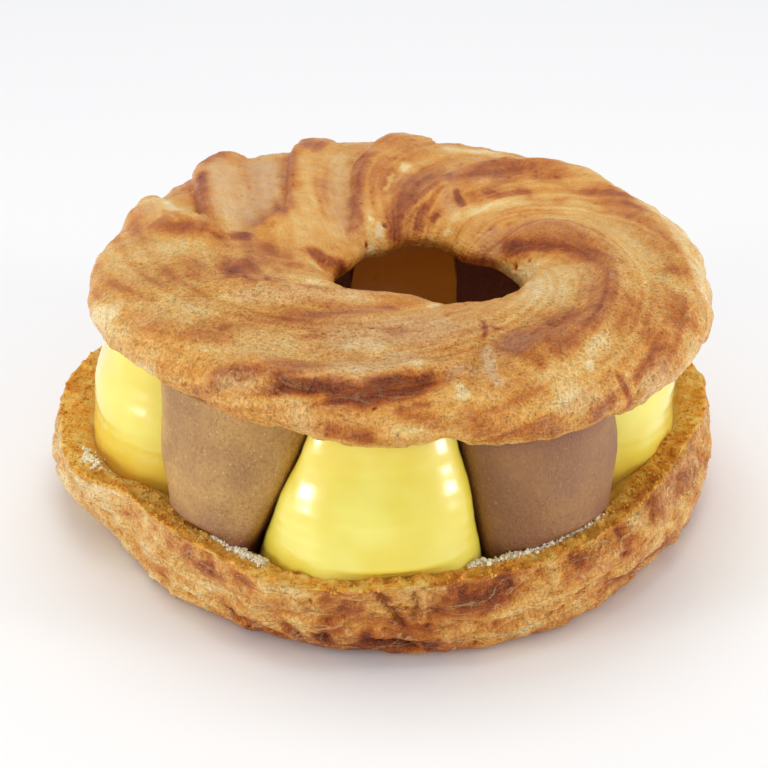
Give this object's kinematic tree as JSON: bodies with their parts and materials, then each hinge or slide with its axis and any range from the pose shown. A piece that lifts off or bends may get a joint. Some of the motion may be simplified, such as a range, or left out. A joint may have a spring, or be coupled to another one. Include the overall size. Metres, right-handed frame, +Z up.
{
  "type": "paris brest pastry",
  "caption": "Round choux pastry ring cut in two: a spiral-ridged lid with an off-centre hole, on fat piped dollops of custard and chocolate cream in a shallow lower half.",
  "frame": {"origin": "centre of the pastry's plan, on the flat underside that it stands on", "axes": "+Z up through the ring, -Y towards the custard dollop at the front, +X to that view's right"},
  "size_m": [0.1008, 0.099, 0.0444],
  "materials": {
    "crust": "baked golden-brown choux crust with a thin egg-wash sheen",
    "custard": "smooth wet yellow custard cream",
    "chocolate": "matt taupe-brown chocolate cream with fine specks"
  },
  "bodies": {
    "root": {"base_shell": "crust", "lid_ring": "crust", "custard_dollop_1": "custard", "custard_dollop_2": "custard", "custard_dollop_3": "custard", "custard_dollop_4": "custard", "chocolate_dollop_1": "chocolate", "chocolate_dollop_2": "chocolate", "chocolate_dollop_3": "chocolate", "chocolate_dollop_4": "chocolate"}
  },
  "joints": []
}
